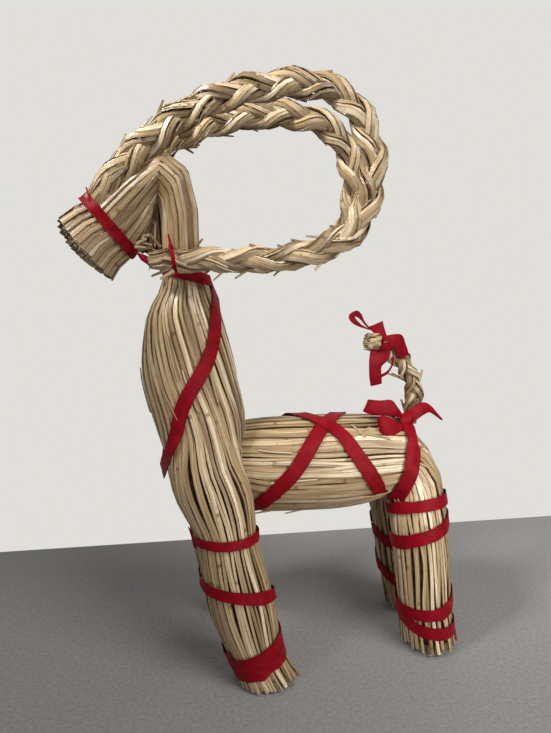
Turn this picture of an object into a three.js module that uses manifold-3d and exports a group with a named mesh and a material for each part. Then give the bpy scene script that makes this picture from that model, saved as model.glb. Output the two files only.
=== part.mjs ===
// Straw goat: two bundles of straw, bent and tied with red ribbon, with plaited horns and tail.
// Millimetres, +Z up. The goat looks along -X and stands on z = 0; its left side faces -Y.
import * as THREE from 'three';
import { mergeVertices } from 'three/addons/utils/BufferGeometryUtils.js';
import Module from 'manifold-3d';

const wasm = await Module();
wasm.setup();

// Driving dimensions.
const CLEARANCE = 0.35;              // gap kept between pieces that touch
const RIBBON_GAP = 0.8;              // from a bundle's skin to its ribbon
const RIBBON_WIDTH = 9.5;
const RIBBON_THICKNESS = 0.9;
const RIBBON_DETAIL = 0.15;          // ribbon meshes drop detail finer than this
const FLUTE_DEPTH = 1.1;             // how far the grooves between straws sink in
const STRAWS_AROUND_LEG = 16;
const STRAWS_AROUND_TRUNK = 24;
const LEG_SPREAD_FRONT = 44.5;       // half the distance between the front feet's centres
const LEG_SPREAD_HIND = 27;
const RIGHT_FRONT_FOOT_LEAD = 12;    // the right front foot stands this far ahead of the left one
const RIGHT_HIND_FOOT_LAG = 8;
const FRONT_LEG_WRAPS = [99, 66, 33, 19];   // heights at which a ribbon crosses the leg's outer side
const HIND_LEG_WRAPS = [109, 88, 38, 23];
const HORN = { pitch: 81, side: 4.7, lift: 2.6, strand: 4.3 };
const TAIL = { pitch: 44, side: 3.1, lift: 1.9, strand: 3.1 };

const STRAW = { color: 0xcdb083, roughness: 0.55, metalness: 0 };
const HORN_STRAW = { color: 0xc9a974, roughness: 0.5, metalness: 0 };
const RED_RIBBON = { color: 0x9c1524, roughness: 0.45, metalness: 0 };

// Solids and meshes.
function toSolid(geometry) {
  const merged = mergeVertices(geometry, 1e-4);
  return new wasm.Manifold(new wasm.Mesh({
    numProp: 3,
    vertProperties: Float32Array.from(merged.attributes.position.array),
    triVerts: Uint32Array.from(merged.index.array),
  }));
}

// Trimming can leave loose slivers, so only the largest body of a solid is kept.
const largest = (solid) => solid.decompose().sort((a, b) => b.volume() - a.volume())[0];

function toMesh(name, solid, material, detail = 0.04) {
  const mesh = largest(solid.simplify(detail)).getMesh();
  const geometry = new THREE.BufferGeometry();
  geometry.setAttribute('position', new THREE.BufferAttribute(Float32Array.from(mesh.vertProperties), 3));
  geometry.setIndex(new THREE.BufferAttribute(Uint32Array.from(mesh.triVerts), 1));
  geometry.computeVertexNormals();
  const result = new THREE.Mesh(geometry, new THREE.MeshStandardMaterial(material));
  result.name = name;
  return result;
}

const joined = (solids) => solids.reduce((whole, solid) => whole.add(solid));

// Skins a row of rings of equal point count; closed rows join their last ring to the first.
function loft(rings, closed = false) {
  const count = rings[0].length;
  const points = rings.flat();
  const triangles = [];
  const rows = closed ? rings.length : rings.length - 1;
  for (let row = 0; row < rows; row++) {
    const next = (row + 1) % rings.length;
    for (let i = 0; i < count; i++) {
      const j = (i + 1) % count;
      const [a, b] = [row * count + i, row * count + j];
      const [c, d] = [next * count + i, next * count + j];
      triangles.push(a, b, d, a, d, c);
    }
  }
  if (!closed) {
    for (const [ring, start] of [[rings[0], 0], [rings.at(-1), (rings.length - 1) * count]]) {
      const middle = points.length;
      points.push(ring.reduce((sum, p) => sum.add(p), new THREE.Vector3()).divideScalar(count));
      for (let i = 0; i < count; i++) {
        const j = (i + 1) % count;
        triangles.push(...(start === 0 ? [middle, start + j, start + i] : [middle, start + i, start + j]));
      }
    }
  }
  const geometry = new THREE.BufferGeometry().setFromPoints(points);
  geometry.setIndex(enclosedVolume(points, triangles) < 0 ? triangles.reverse() : triangles);
  return toSolid(geometry);
}

function enclosedVolume(points, triangles) {
  let volume = 0;
  for (let i = 0; i < triangles.length; i += 3) {
    const [a, b, c] = [points[triangles[i]], points[triangles[i + 1]], points[triangles[i + 2]]];
    volume += a.dot(b.clone().cross(c)) / 6;
  }
  return volume;
}

// A straw bundle is a row of stations. Each station is the pair of edges that the bundle shows from
// the side, as [x, z] for one edge and the other, then its middle y and its half width along y.
class Bundle {
  constructor(stations, straws) {
    this.straws = straws;
    this.last = stations.length - 1;
    this.stations = stations.map(([outer, inner, y, half]) => ({
      outer: new THREE.Vector3(outer[0], y, outer[1]),
      inner: new THREE.Vector3(inner[0], y, inner[1]),
      half,
    }));
  }

  // The station at which a leg's middle line is at a height; legs run downwards.
  atHeight(z) {
    const heights = this.stations.map(({ outer, inner }) => (outer.z + inner.z) / 2);
    const i = Math.max(heights.findLastIndex((height) => height > z), 0);
    return i + (heights[i] - z) / (heights[i] - heights[i + 1]);
  }

  onStation({ outer, inner, half }, turn, grow) {
    const middle = outer.clone().add(inner).multiplyScalar(0.5);
    const reach = outer.clone().sub(inner).multiplyScalar(0.5);
    reach.setLength(reach.length() + grow);
    const side = new THREE.Vector3(0, half + grow, 0);
    return middle.addScaledVector(reach, Math.cos(turn)).addScaledVector(side, Math.sin(turn));
  }

  // A point of the skin: 'at' counts stations, 'turn' runs round the bundle from the outer edge
  // (0) over +Y (a quarter turn), and 'grow' moves the skin outwards.
  point(at, turn, grow = 0) {
    const i = Math.min(Math.floor(at), this.last - 1);
    const low = this.onStation(this.stations[i], turn, grow);
    return low.lerp(this.onStation(this.stations[i + 1], turn, grow), at - i);
  }

  solid(grow = 0, flutes = true) {
    const sides = flutes ? 2 * this.straws : this.straws;
    return loft(this.stations.map((station) => Array.from({ length: sides }, (_, i) => {
      const sunk = flutes && i % 2 ? FLUTE_DEPTH : 0;
      return this.onStation(station, (i / sides) * 2 * Math.PI, grow - sunk);
    })));
  }
}

// A flat ribbon laid on a bundle. The route gives [at, turn] for a run from 0 to 1, and both edges
// of the ribbon follow the bundle's skin.
function strap(bundle, route, steps, { closed = false, width = RIBBON_WIDTH, raise = 0 } = {}) {
  const rings = [];
  const probe = 0.01;
  for (let i = 0; i < (closed ? steps : steps + 1); i++) {
    const t = i / steps;
    const [at, turn] = route(t);
    const low = Math.max(at - probe, 0);
    const high = Math.min(at + probe, bundle.last);
    const perStation = bundle.point(high, turn).sub(bundle.point(low, turn)).divideScalar(high - low);
    const perTurn = bundle.point(at, turn + probe).sub(bundle.point(at, turn - probe))
      .divideScalar(2 * probe);
    const tangent = bundle.point(...route(t + probe)).sub(bundle.point(...route(t - probe)));
    const across = perTurn.clone().cross(perStation).cross(tangent).setLength(width / 2);
    const [ss, st, tt] = [perStation.lengthSq(), perStation.dot(perTurn), perTurn.lengthSq()];
    const [sa, ta] = [perStation.dot(across), perTurn.dot(across)];
    const scale = 1 / (ss * tt - st * st);
    const [dAt, dTurn] = [(sa * tt - ta * st) * scale, (ta * ss - sa * st) * scale];
    const edge = (sign, grow) => bundle.point(
      Math.min(Math.max(at + sign * dAt, 0), bundle.last), turn + sign * dTurn, grow,
    );
    const [under, over] = [RIBBON_GAP + raise, RIBBON_GAP + raise + RIBBON_THICKNESS];
    rings.push([edge(1, under), edge(-1, under), edge(-1, over), edge(1, over)]);
  }
  return loft(rings, closed);
}

const ring = (bundle, at, lean = 0, options = {}) => strap(
  bundle,
  (t) => [at + lean * Math.cos(2 * Math.PI * t + (options.phase ?? 0)), 2 * Math.PI * t],
  bundle.straws,
  { closed: true, width: options.width, raise: options.raise },
);

// A ribbon through free space: a thin strip that follows a curve, turned by its across vectors.
function strip(points, acrosses, steps = 12, width = RIBBON_WIDTH, thickness = RIBBON_THICKNESS) {
  const path = new THREE.CatmullRomCurve3(points.map((p) => new THREE.Vector3(...p)));
  const lean = new THREE.CatmullRomCurve3(acrosses.map((p) => new THREE.Vector3(...p)));
  const rings = [];
  for (let i = 0; i <= steps; i++) {
    const middle = path.getPoint(i / steps);
    const tangent = path.getTangent(i / steps);
    const across = lean.getPoint(i / steps);
    across.addScaledVector(tangent, -across.dot(tangent)).setLength(width / 2);
    const up = tangent.clone().cross(across).setLength(thickness / 2);
    rings.push([[1, 1], [-1, 1], [-1, -1], [1, -1]].map(
      ([a, b]) => middle.clone().addScaledVector(across, a).addScaledVector(up, b),
    ));
  }
  return loft(rings);
}

// A three-strand plait along a curve. Its strands swap sides once a pitch, and its skin is the
// outline of the three strands at each station; the plait's broad face looks along Y.
function plait(path, { pitch, side, lift, strand }, { grow = 0, sides = 10, step = 6.8, ends = [1, 1] } = {}) {
  const length = path.getLength();
  const stations = Math.round(length / step);
  const rings = [];
  for (let i = 0; i <= stations; i++) {
    const run = i / stations;
    const middle = path.getPointAt(run);
    const tangent = path.getTangentAt(run);
    const broad = tangent.clone().cross(new THREE.Vector3(0, 1, 0)).normalize();
    const thick = broad.clone().cross(tangent).normalize();
    const slim = THREE.MathUtils.lerp(ends[0], 1, Math.min(1, run * 6))
      * THREE.MathUtils.lerp(ends[1], 1, Math.min(1, (1 - run) * 6));
    const phase = (2 * Math.PI * run * length) / pitch;
    rings.push(Array.from({ length: sides }, (_, k) => {
      const angle = (k / sides) * 2 * Math.PI;
      const [dx, dy] = [Math.cos(angle), Math.sin(angle)];
      let reach = 0.55 * strand;
      for (let s = 0; s < 3; s++) {
        const swing = phase + (s * 2 * Math.PI) / 3;
        const [cx, cy] = [side * Math.sin(swing), lift * Math.sin(2 * swing)];
        const along = cx * dx + cy * dy;
        const off = strand ** 2 - (cx * dy - cy * dx) ** 2;
        if (off > 0) reach = Math.max(reach, along + Math.sqrt(off));
      }
      reach = reach * slim + grow;
      return middle.clone().addScaledVector(broad, reach * dx).addScaledVector(thick, reach * dy);
    }));
  }
  return loft(rings);
}

// Front bundle: muzzle, crown and neck, down to where it parts into the front legs.
const trunk = new Bundle([
  [[-136.5, 303.5], [-101.5, 263.5], 0, 22],     // cut end of the muzzle
  [[-128, 311.5], [-96, 273.5], 0, 19.5],
  [[-116.8, 316.5], [-88.5, 284], 0, 16.5],      // under the muzzle ribbon
  [[-91, 336], [-79, 301], 0, 19],
  [[-67, 350], [-70, 322], 0, 20.5],             // crown, where the straws fold over
  [[-50, 344.5], [-67, 318], 0, 21],
  [[-42, 324], [-69.5, 306], 0, 20.5],
  [[-41, 291], [-69.5, 291], 0, 18],
  [[-36.5, 266], [-69, 266], 0, 17],             // neck tie
  [[-29.5, 247], [-79, 249], 0, 25],
  [[-18, 200], [-82, 204], 0, 31],
  [[-13, 165], [-77.5, 168], 0, 37.5],
  [[-14, 146], [-71, 146], 0, 38],
], STRAWS_AROUND_TRUNK);

const CHEST_END = [27, 21];          // half height and half width of the body's end at the chest
function frontLeg(side, footLead) {
  const station = (back, front, z, y, half, lead) => [
    [back - footLead * lead, z], [front - footLead * lead, z], side * y, half,
  ];
  return new Bundle([
    station(-24, -66, 176, 20, 13, 0),
    station(-13.5, -73.5, 150, 32.5, 14.5, 0),
    station(-10.5, -66.5, 126, 38, 14, 0),
    station(-10.5, -52, 96, 41, 17.5, 0.25),
    station(-1, -44.5, 62, 42.5, 19, 0.55),
    station(9.5, -27, 16, 44, 18.5, 0.9),
    station(16, -22, 0, LEG_SPREAD_FRONT, 19, 1),
  ], STRAWS_AROUND_LEG);
}
const leftFrontLeg = frontLeg(-1, 0);
const rightFrontLeg = frontLeg(1, RIGHT_FRONT_FOOT_LEAD);

// Body bundle: from its cut end at the chest to the rump, where it turns down into the hind legs.
const body = new Bundle([
  [[-63, 137 + CHEST_END[0]], [-63, 137 - CHEST_END[0]], 0, CHEST_END[1]],
  [[-22, 166], [-22, 105], 0, 23.5],
  [[4, 168.5], [4, 99.5], 0, 31],
  [[45, 169], [45, 99], 0, 34.5],
  [[84, 168], [84, 99], 0, 35],
  [[107, 165.5], [91, 100], 0, 36],
  [[123.5, 152], [98, 101], 0, 35],
  [[131.5, 133], [100, 103], 0, 32],
], STRAWS_AROUND_TRUNK);

function hindLeg(side, footLag) {
  const station = (back, front, z, y, half, lag) => [
    [back + footLag * lag, z], [front + footLag * lag, z], side * y, half,
  ];
  return new Bundle([
    station(126, 97, 146, 17, 14.5, 0),
    station(131.5, 88.5, 124, 21, 18, 0),
    station(130.5, 88, 106, 23.5, 19.5, 0),
    station(132, 92, 78, 25, 20, 0.1),
    station(135.5, 96, 34, 26.5, 20, 0.5),
    station(139, 101.5, 0, LEG_SPREAD_HIND, 19.3, 1),
  ], STRAWS_AROUND_LEG);
}
const leftHindLeg = hindLeg(-1, 0);
const rightHindLeg = hindLeg(1, RIGHT_HIND_FOOT_LAG);

// Horns: plaits that rise from the forehead, sweep back in a loop and return to the neck.
const HORN_ROUTE = [
  [-106.5, -10.5, 326], [-82, -13.5, 346], [-49, -16, 371.5], [-16.5, -18, 384.5], [20, -20, 391],
  [50, -22.5, 384.5], [67, -25, 361], [69, -28, 327], [54, -30, 296], [8, -31, 279.5],
  [-38, -27.5, 278], [-76, -25, 277.5],
];
function hornPath(side, drop) {
  return new THREE.CatmullRomCurve3(HORN_ROUTE.map(([x, y, z], i) => {
    const sag = drop * Math.sin((Math.PI * i) / (HORN_ROUTE.length - 1)) ** 2;
    return new THREE.Vector3(x + 0.5 * sag, -side * y, z - sag);
  }));
}
const hornPaths = { left: hornPath(-1, 0), right: hornPath(1, 8) };
const horn = (path, grow = 0) => plait(path, HORN, { grow, ends: [0.85, 0.8] });

// Tail: a thin plait that stands up from the rump and bends forwards to its cut end.
const tailPath = new THREE.CatmullRomCurve3([
  [112, 0, 158], [115, 0, 178], [112.5, 0, 199], [99, 0, 217.5], [75.5, 0, 222.5],
].map((p) => new THREE.Vector3(...p)));
const tail = (grow = 0) => plait(tailPath, TAIL, { grow, sides: 8, step: 4, ends: [1, 0.9] });

function frontBundle(grow, flutes) {
  return joined([trunk, leftFrontLeg, rightFrontLeg].map((bundle) => bundle.solid(grow, flutes)));
}
function hindBundle(grow, flutes) {
  return joined([body, leftHindLeg, rightHindLeg].map((bundle) => bundle.solid(grow, flutes)));
}

// Ribbons. Each one is laid on its bundle and trimmed clear of everything that it meets.
const byKeys = (keys) => {
  const curve = new THREE.CatmullRomCurve3(keys.map(([at, turn]) => new THREE.Vector3(at, turn, 0)));
  return (t) => {
    const p = curve.getPoint(Math.min(Math.max(t, 0), 1));
    return [p.x, THREE.MathUtils.degToRad(p.y)];
  };
};

const muzzleRibbon = () => ring(trunk, 2, 0, { width: 8 });

// The sash hangs from the nape and passes under the chest, round the neck and the tops of the legs.
const girth = new Bundle([
  ...trunk.stations.slice(0, 12).map(({ outer, inner, half }) => [
    [outer.x, outer.z], [inner.x, inner.z], 0, half + 0.2,
  ]),
  [[-12, 146], [-74.5, 150], 0, 47.5],
  [[-10, 126], [-69, 126], 0, 52],
], STRAWS_AROUND_TRUNK);
const SASH = [
  [8.2, 0], [9.3, 42], [10.1, 85], [11.3, 135], [12.2, 180],
  [11.3, 225], [10.1, 275], [9.3, 318], [8.2, 360],
];

function neckRibbon() {
  const sash = strap(girth, byKeys(SASH), 2 * trunk.straws, { closed: true });
  const hornLoops = [-1, 1].map((side) => {
    const turns = Array.from({ length: 12 }, (_, i) => (i / 12) * 2 * Math.PI);
    const rings = turns.map((turn) => [[-2, 10], [2, 10], [2, 11], [-2, 11]].map(
      ([x, r]) => new THREE.Vector3(-58 + x, side * 26 + 0.85 * r * Math.cos(turn), 277.5 + r * Math.sin(turn)),
    ));
    return loft(rings, true);
  });
  const knots = [-1, 1].map((side) => knot([-57, side * 20.5, 267], 4));
  const loops = joined([...hornLoops, ...knots]).subtract(trunk.solid(CLEARANCE, false));
  return joined([ring(trunk, 8), sash, loops]);
}

// One length of ribbon winds down a leg: it lies level across the outer side at each given height
// and steps down to the next one on the inner side.
function legRibbon(leg, outerSide, heights) {
  const stepsPerTurn = leg.straws;
  const turns = heights.length;
  return strap(leg, (t) => {
    const travelled = Math.min(Math.max(t, 0), 1) * turns;
    const pass = Math.min(Math.floor(travelled), turns - 1);
    const within = travelled - pass;
    const next = heights[Math.min(pass + 1, turns - 1)];
    const drop = THREE.MathUtils.smoothstep(within, 0.5, 1);
    const height = THREE.MathUtils.lerp(heights[pass], next, drop);
    return [leg.atHeight(height), Math.PI + outerSide * 2 * Math.PI * -travelled];
  }, stepsPerTurn * turns, { raise: 0.25 });
}

// The body's two lengths cross on the back; angles run from the back (0) towards the right side.
function bodyRibbon() {
  const first = byKeys([[1.86, -150], [2.35, -90], [2.9, -30], [3.25, 0], [3.6, 60], [4.15, 150]]);
  const second = byKeys([[1.86, 150], [2.15, 75], [2.6, 0], [2.9, -28], [3.55, -90], [4.1, -150]]);
  return joined([strap(body, first, 28), strap(body, second, 28, { raise: 0.3 })]);
}

function knot([x, y, z], radius) {
  const ball = new THREE.SphereGeometry(radius, 8, 5);
  ball.deleteAttribute('normal');
  ball.deleteAttribute('uv');
  ball.translate(x, y, z);
  return toSolid(ball);
}

// A tied bow: runs of ribbon that leave the knot, each one a list of points measured from it.
function bow(centre, runs, width) {
  const start = new THREE.Vector3(...centre);
  const strips = runs.map(({ points, across }) => strip(
    points.map((p) => new THREE.Vector3(...p).add(start).toArray()), across, 8, width,
  ));
  return joined([knot(centre, 4.4), ...strips]);
}

function rumpRibbon() {
  const saddle = strap(body, byKeys([[4.7, -112], [5, -65], [4.8, 0], [5, 65], [4.7, 112]]), 16);
  const tied = bow([103, -6, 170.5], [
    { points: [[0, 0, 0], [-15, -2, 8], [-30, -4, 5], [-17, -5, 0], [0, 0, 0]], across: [[0, 1, 0.8], [0, 1, 0.8]] },
    { points: [[0, 0, 0], [-12, -5, 1], [-23, -10, -2]], across: [[0.2, 0.7, 0.7], [0.2, 0.7, 0.7]] },
    { points: [[0, 0, 0], [14, -3, 3], [31, -5, -2]], across: [[0, 1, 0.6], [0, 1, 0.9]] },
  ], RIBBON_WIDTH);
  return joined([saddle, tied]);
}

function tailRibbon() {
  const middle = tailPath.getPointAt(0.82);
  const tangent = tailPath.getTangentAt(0.82);
  const up = tangent.clone().cross(new THREE.Vector3(0, 1, 0)).normalize();
  const rings = Array.from({ length: 12 }, (_, i) => {
    const turn = (i / 12) * 2 * Math.PI;
    return [[-3.5, 6], [3.5, 6], [3.5, 7], [-3.5, 7]].map(([along, r]) => middle.clone()
      .addScaledVector(tangent, along)
      .addScaledVector(up, r * Math.cos(turn))
      .add(new THREE.Vector3(0, r * Math.sin(turn), 0)));
  });
  const tied = bow([middle.x, -9, middle.z + 3], [
    { points: [[0, 0, 0], [-10, -2, 12], [-21, -2, 11], [-11, -1, 3], [0, 0, 0]], across: [[0.3, 1, 0.5], [0.3, 1, 0.5]] },
    { points: [[0, 0, 0], [12, -2, 3], [22, -3, -5], [10, -2, -8], [0, 0, 0]], across: [[0.2, 1, 0.5], [0.2, 1, 0.5]] },
    { points: [[0, 0, 0], [-3, -3, -14], [-4, -2, -33]], across: [[1, 0.3, 0], [0.8, 0.6, 0]] },
  ], 0.9 * RIBBON_WIDTH);
  return joined([loft(rings, true), tied]);
}

// Fitting: each piece is cut back by the ones that press into it.
const grownHorns = joined(Object.values(hornPaths).map((path) => horn(path, CLEARANCE)));
const frontSolid = frontBundle(0, true)
  .subtract(hindBundle(CLEARANCE, false))
  .subtract(grownHorns);
const hindSolid = hindBundle(0, true).subtract(tail(CLEARANCE));
const hindGrown = hindBundle(CLEARANCE, false);
const tailSolid = tail();

const goat = new THREE.Group();
const add = (name, solid, material) => goat.add(toMesh(name, solid, material));
const addRibbon = (name, solid) => goat.add(toMesh(name, solid, RED_RIBBON, RIBBON_DETAIL));
add('head_neck_and_front_legs', frontSolid, STRAW);
add('body_and_hind_legs', hindSolid, STRAW);
add('left_horn', horn(hornPaths.left), HORN_STRAW);
add('right_horn', horn(hornPaths.right), HORN_STRAW);
add('tail', tailSolid, HORN_STRAW);

const grownLegs = (legs, grow) => joined(legs.map((leg) => leg.solid(grow, false)));
const grownFrontLegs = grownLegs([leftFrontLeg, rightFrontLeg], CLEARANCE);
const ribbonedHindLegs = grownLegs([leftHindLeg, rightHindLeg], RIBBON_GAP + RIBBON_THICKNESS + CLEARANCE);
const grownBody = body.solid(CLEARANCE, false);
addRibbon('muzzle_ribbon', muzzleRibbon().subtract(grownHorns));
addRibbon('neck_ribbon', neckRibbon().subtract(grownFrontLegs).subtract(grownHorns));
addRibbon('body_ribbon', bodyRibbon().subtract(ribbonedHindLegs));
addRibbon('rump_ribbon', rumpRibbon().subtract(hindGrown).subtract(ribbonedHindLegs).subtract(tail(CLEARANCE)));
addRibbon('tail_ribbon', tailRibbon().subtract(tail(CLEARANCE)));
addRibbon('left_front_leg_ribbon', legRibbon(leftFrontLeg, -1, FRONT_LEG_WRAPS));
addRibbon('right_front_leg_ribbon', legRibbon(rightFrontLeg, 1, FRONT_LEG_WRAPS));
addRibbon('left_hind_leg_ribbon', legRibbon(leftHindLeg, -1, HIND_LEG_WRAPS).subtract(grownBody));
addRibbon('right_hind_leg_ribbon', legRibbon(rightHindLeg, 1, HIND_LEG_WRAPS).subtract(grownBody));

// The origin is the middle of the underside of the goat's box.
const box = new THREE.Box3().setFromObject(goat);
goat.position.x = -(box.min.x + box.max.x) / 2;

export default goat;
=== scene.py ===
import math

import bmesh
import bpy
import numpy as np
from mathutils import Matrix, Vector


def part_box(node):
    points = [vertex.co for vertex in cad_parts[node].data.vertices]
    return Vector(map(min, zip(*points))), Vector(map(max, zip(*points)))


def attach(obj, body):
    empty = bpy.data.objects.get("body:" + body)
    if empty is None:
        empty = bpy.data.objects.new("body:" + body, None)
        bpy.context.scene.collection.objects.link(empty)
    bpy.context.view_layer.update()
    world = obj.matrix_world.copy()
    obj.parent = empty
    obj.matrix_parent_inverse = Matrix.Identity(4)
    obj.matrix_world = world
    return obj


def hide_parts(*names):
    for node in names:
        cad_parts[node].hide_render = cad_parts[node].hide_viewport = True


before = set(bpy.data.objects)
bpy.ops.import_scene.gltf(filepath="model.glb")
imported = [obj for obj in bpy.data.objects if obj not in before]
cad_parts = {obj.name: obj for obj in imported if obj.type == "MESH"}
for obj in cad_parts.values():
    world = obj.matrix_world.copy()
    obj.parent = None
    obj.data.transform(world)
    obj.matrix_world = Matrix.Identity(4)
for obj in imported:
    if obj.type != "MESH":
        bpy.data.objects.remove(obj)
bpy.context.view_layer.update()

# Straw goat: bundles of straw tied with red ribbon, plaited horns and tail. The tables are in
# millimetres, along the same axes as the frame, with the end of the muzzle at x = -136.5.
MM = 0.001
MUZZLE_END = -136.5
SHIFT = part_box("head_neck_and_front_legs")[0].x - MUZZLE_END * MM
RIBBON_WIDTH = 9.6
RIBBON_THICKNESS = 0.35
TAU = 2 * math.pi
rng = np.random.default_rng(24)
uniform = rng.uniform


def to_frame(points):
    placed = np.asarray(points, float).reshape(-1, 3) * MM
    placed[:, 0] += SHIFT
    return placed


def unit(vectors):
    return vectors / np.maximum(np.linalg.norm(vectors, axis=-1, keepdims=True), 1e-9)


def smooth(x, low, high):
    t = np.clip((np.asarray(x, float) - low) / (high - low), 0, 1)
    return t * t * (3 - 2 * t)


def gaps(points):
    return np.linalg.norm(np.diff(points, axis=0), axis=1)


def running(steps):
    """Distance run after each step, from 0."""
    return np.concatenate([[0], np.cumsum(steps)])


def hermite(t, p, q, m, n):
    """A smooth way from p to q that leaves along m and arrives along n."""
    return ((2 * t ** 3 - 3 * t ** 2 + 1) * p + (t ** 3 - 2 * t ** 2 + t) * m
            + (3 * t ** 2 - 2 * t ** 3) * q + (t ** 3 - t ** 2) * n)


# ------ the bundles' skins

class Bundle:
    """A bundle of straw as a row of stations, one row of numbers each: outer edge x, z, inner edge
    x, z, half width along y, then each leg's middle y and half width, how far the bundle has parted
    into its two legs (0 to 1), and how far the right leg stands off along x. Above the legs a row
    has the first five, and the rest come from the top of the legs. Between the stations of crisp
    the edges run straight, and elsewhere they are rounded without overshoot."""

    def __init__(self, rows, legs_top, crisp=(0, 0)):
        self.rows = np.array([[*row, *legs_top, 0, 0][:9] for row in rows], float)
        self.crisp = crisp
        self.last = len(self.rows) - 1
        middle = (self.rows[:, :2] + self.rows[:, 2:4]) / 2
        steps = np.maximum(gaps(middle), 5)
        self.reach = running(steps)
        h = steps[:, None]
        rise = np.diff(self.rows, axis=0) / h
        a, b = rise[:-1], rise[1:]
        w1, w2 = 2 * h[1:] + h[:-1], h[1:] + 2 * h[:-1]
        same = a * b > 1e-12
        safe = lambda v: np.where(same, v, 1)
        self.slopes = np.vstack([rise[:1], np.zeros_like(b), rise[-1:]])
        self.slopes[1:-1] = np.where(same, (w1 + w2) / (w1 / safe(a) + w2 / safe(b)), 0)

    def row(self, at):
        at = np.clip(np.asarray(at, float), 0, self.last)
        i = np.minimum(at.astype(int), self.last - 1)
        h = (self.reach[i + 1] - self.reach[i])[..., None]
        t = (at - i)[..., None]
        p, q = self.rows[i], self.rows[i + 1]
        curved = hermite(t, p, q, self.slopes[i] * h, self.slopes[i + 1] * h)
        folded = ((i >= self.crisp[0]) & (i < self.crisp[1]))[..., None]
        return np.where(folded, p * (1 - t) + q * t, curved)

    def skin(self, at, turn, grow=0.0, right=None, split=None):
        """Points of the skin. The turn is in degrees: 0 on the outer edge, 90 on the right side.
        Split overrules how far the bundle has parted, and at 1 the turn goes round one leg."""
        at, turn, grow = np.broadcast_arrays(*(np.asarray(v, float) for v in (at, turn, grow)))
        ox, oz, ix, iz, half, leg_y, leg_half, parted, stand = np.moveaxis(self.row(at), -1, 0)
        if split is not None:
            parted = np.full_like(parted, split)
        if right is None:
            right = (turn % 360) < 180
        mx, mz, rx, rz = (ox + ix) / 2, (oz + iz) / 2, (ox - ix) / 2, (oz - iz) / 2
        size = np.hypot(rx, rz)
        rx, rz = rx * (size + grow) / size, rz * (size + grow) / size

        def tube(turn, y, half, off):
            angle = np.radians(turn)
            return np.stack([mx + rx * np.cos(angle) + off, y + (half + grow) * np.sin(angle),
                             mz + rz * np.cos(angle)], -1)

        middle = np.where(right, 90, 270)
        leg_turn = turn % 360 if split == 1 else middle + 2 * (turn - middle)
        whole = tube(turn, 0, half, 0)
        legs = tube(leg_turn, np.where(right, 1, -1) * leg_y, leg_half, np.where(right, stand, 0))
        return whole + (legs - whole) * parted[..., None]

    def girth(self, at):
        """Distance round the bundle, or round both legs together."""
        ox, oz, ix, iz, half, _, leg_half, parted, _ = np.moveaxis(self.row(at), -1, 0)
        reach = np.hypot(ox - ix, oz - iz) / 2
        ring = lambda a, b: math.pi * (3 * (a + b) - np.sqrt((3 * a + b) * (a + 3 * b)))
        return ring(reach, half) * (1 - parted) + 2 * ring(reach, leg_half) * parted

    def at_height(self, z):
        """Station at which the middle line of the legs is at a height."""
        at = np.linspace(0, self.last, 400)
        rows = self.row(at)
        heights = (rows[:, 1] + rows[:, 3]) / 2
        start = int(np.argmax(heights))
        return np.interp(-z, -heights[start:], at[start:])

    def at_level(self, z, turn, right, first):
        """Stations, from the first on, at which a leg's skin is at a height, for each turn."""
        at = np.linspace(first, self.last, 160)
        heights = self.skin(at[None, :], turn[:, None], right=right, split=1)[..., 2]
        falling = np.minimum.accumulate(heights, axis=1)
        return np.array([np.interp(-level, -row, at) for level, row in zip(z, falling)])


# Muzzle, crown, neck tie, chest, then both front legs down to the feet.
front = Bundle([
    [-141, 299.2, -104.8, 257.5, 23],
    [-128, 311.5, -96, 273.5, 19.5],
    [-116.8, 316.5, -86.5, 282, 16.5],
    [-92, 337, -77.5, 297, 18.5],
    [-66, 351, -70.5, 317, 20],
    [-50, 340, -69.5, 309, 20.5],
    [-43.5, 314, -69.5, 300, 20],
    [-43, 289, -69.5, 289, 18],
    [-36.5, 266, -69, 266, 17],
    [-29.5, 247, -80.3, 240, 25],
    [-18, 200, -84.3, 206, 31],
    [-13, 165, -77.5, 168, 37.5, 25, 13, 0.05, 0],
    [-13.5, 146, -72.5, 148, 42, 33, 14.5, 0.4, 0],
    [-10, 126, -64.2, 126, 48, 38, 14, 0.85, 0],
    [-8.5, 96, -49.4, 96, 41, 41, 17.5, 1, -3],
    [1, 62, -45.5, 62, 41, 42.5, 19, 1, -6.6],
    [9, 16, -29.5, 16, 41, 44.5, 18.5, 1, -10.8],
    [17, 1, -22.5, 1, 41, 45.5, 20, 1, -12],
], legs_top=(25, 13), crisp=(2, 7))

# Body from its cut end at the chest to the rump, then both hind legs.
hind = Bundle([
    [-63, 164, -63, 110, 21],
    [-22, 166, -22, 105, 23.5],
    [4, 168.5, 4, 99.5, 31],
    [45, 169, 45, 99, 34.5],
    [86, 168, 78, 103, 35],
    [108, 164.5, 85.5, 108, 36, 17, 15, 0.05, 0],
    [120, 150.5, 87.5, 106.5, 36, 18, 17, 0.3, 0],
    [127.5, 132.5, 88.5, 101, 37, 21, 18, 0.7, 0],
    [129.5, 112, 89.5, 92, 37, 23.5, 19.5, 1, 0],
    [131.5, 88, 91.2, 80, 37, 25, 20, 1, 0.8],
    [133.5, 60, 93.5, 60, 37, 25.7, 20, 1, 2.4],
    [135.5, 34, 96, 34, 37, 26.5, 20, 1, 4],
    [139, 1, 101.5, 1, 37, 27, 19.3, 1, 8],
], legs_top=(17, 14.5), crisp=(4, 8))

# The way of the sash round the neck and under the chest, outside the tops of the legs.
girth = Bundle([[*row[:4], row[4] + 0.4] for row in front.rows[:12]] + [
    [-12, 146, -74.5, 150, 47.8],
    [-10, 126, -69, 126, 52.4],
], legs_top=(25, 13))


# ------ modelling helpers

def deselect():
    for obj in bpy.context.selected_objects:
        obj.select_set(False)


def activate(obj):
    deselect()
    obj.select_set(True)
    bpy.context.view_layer.objects.active = obj


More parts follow.
